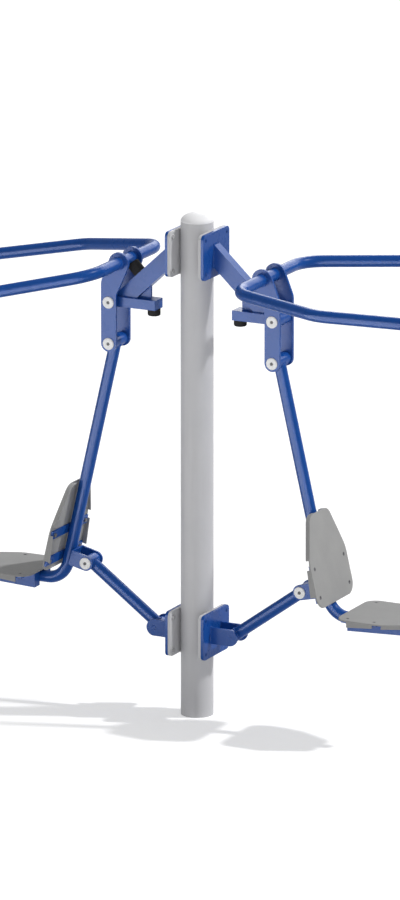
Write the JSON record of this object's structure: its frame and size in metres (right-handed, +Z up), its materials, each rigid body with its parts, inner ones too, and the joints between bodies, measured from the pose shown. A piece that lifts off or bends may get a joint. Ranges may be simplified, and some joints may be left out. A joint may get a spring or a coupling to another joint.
{
  "type": "outdoor lat pulldown machine",
  "caption": "Outdoor lat pulldown trainer: a round post with opposed stations, each a lever with a flared tube handle that lifts a hanging seat guided by a link.",
  "frame": {"origin": "centre of the post's foot, at ground level", "axes": "+Z up along the post, +X from the post towards the right station, +Y to the back"},
  "size_m": [2.1, 0.9384, 1.794],
  "materials": {
    "post_grey": "satin",
    "frame_blue": "satin",
    "shell_grey": "matte",
    "white_plastic": "gloss",
    "plug_plastic": "matte",
    "rubber_black": "matte",
    "bare_steel": "satin",
    "screw_steel": "dark"
  },
  "bodies": {
    "post_frame": {"post": "post_grey", "post_cap": "post_grey", "post_flanges": "post_grey", "right_upper_bracket_plate": "frame_blue", "right_lower_bracket_plate": "frame_blue", "right_flange_screws": "screw_steel", "right_upper_arm": "frame_blue", "right_stop_arm": "frame_blue", "right_stop_bumpers": "rubber_black", "right_pivot_housing": "frame_blue", "right_main_bearings": "bare_steel", "right_lower_ears": "frame_blue", "right_lower_pin": "bare_steel", "left_upper_bracket_plate": "frame_blue", "left_lower_bracket_plate": "frame_blue", "left_flange_screws": "screw_steel", "left_upper_arm": "frame_blue", "left_stop_arm": "frame_blue", "left_stop_bumpers": "rubber_black", "left_pivot_housing": "frame_blue", "left_main_bearings": "bare_steel", "left_lower_ears": "frame_blue", "left_lower_pin": "bare_steel"},
    "right_lever": {"right_lever_plates": "frame_blue", "right_main_axle": "bare_steel", "right_hanger_axle": "bare_steel", "right_lever_caps": "white_plastic", "right_handle_bar": "frame_blue", "right_handle_plugs": "plug_plastic"},
    "right_seat_frame": {"right_hanger_hub": "frame_blue", "right_seat_tube": "frame_blue", "right_seat_tube_plug": "plug_plastic", "right_link_clevis": "frame_blue", "right_link_pin": "bare_steel", "right_link_caps": "white_plastic", "right_shell_bars": "frame_blue", "right_backrest_shell": "shell_grey", "right_seat_shell": "shell_grey", "right_shell_screws": "screw_steel"},
    "right_link": {"right_link_tube": "frame_blue", "right_link_hubs": "frame_blue"},
    "left_lever": {"left_lever_plates": "frame_blue", "left_main_axle": "bare_steel", "left_hanger_axle": "bare_steel", "left_lever_caps": "white_plastic", "left_handle_bar": "frame_blue", "left_handle_plugs": "plug_plastic"},
    "left_seat_frame": {"left_hanger_hub": "frame_blue", "left_seat_tube": "frame_blue", "left_seat_tube_plug": "plug_plastic", "left_link_clevis": "frame_blue", "left_link_pin": "bare_steel", "left_link_caps": "white_plastic", "left_shell_bars": "frame_blue", "left_backrest_shell": "shell_grey", "left_seat_shell": "shell_grey", "left_shell_screws": "screw_steel"},
    "left_link": {"left_link_tube": "frame_blue", "left_link_hubs": "frame_blue"}
  },
  "joints": [
    {"name": "right_lever_pivot", "type": "hinge", "parent": "post_frame", "child": "right_lever", "pos_m": [0.3155, 0, 1.4526], "axis": [0, 1, 0], "range_deg": [0, 40]},
    {"name": "right_hanger_pivot", "type": "hinge", "parent": "right_lever", "child": "right_seat_frame", "pos_m": [0.3155, 0, 1.3056], "axis": [0, 1, 0], "range_deg": [-44.58, 0]},
    {"name": "right_link_pivot", "type": "hinge", "parent": "post_frame", "child": "right_link", "pos_m": [0.1468, 0, 0.303], "axis": [0, 1, 0], "range_deg": [-8.64, 0]},
    {"name": "left_lever_pivot", "type": "hinge", "parent": "post_frame", "child": "left_lever", "pos_m": [-0.3155, 0, 1.4526], "axis": [0, -1, 0], "range_deg": [0, 40]},
    {"name": "left_hanger_pivot", "type": "hinge", "parent": "left_lever", "child": "left_seat_frame", "pos_m": [-0.3155, 0, 1.3056], "axis": [0, -1, 0], "range_deg": [-44.58, 0]},
    {"name": "left_link_pivot", "type": "hinge", "parent": "post_frame", "child": "left_link", "pos_m": [-0.1468, 0, 0.303], "axis": [0, -1, 0], "range_deg": [-8.64, 0]}
  ],
  "couplings": [
    {"joint": "right_hanger_pivot", "follows": "right_lever_pivot", "ratio": -1.1143},
    {"joint": "right_link_pivot", "follows": "right_lever_pivot", "ratio": -0.21575},
    {"joint": "left_hanger_pivot", "follows": "left_lever_pivot", "ratio": -1.1143},
    {"joint": "left_link_pivot", "follows": "left_lever_pivot", "ratio": -0.21575}
  ]
}
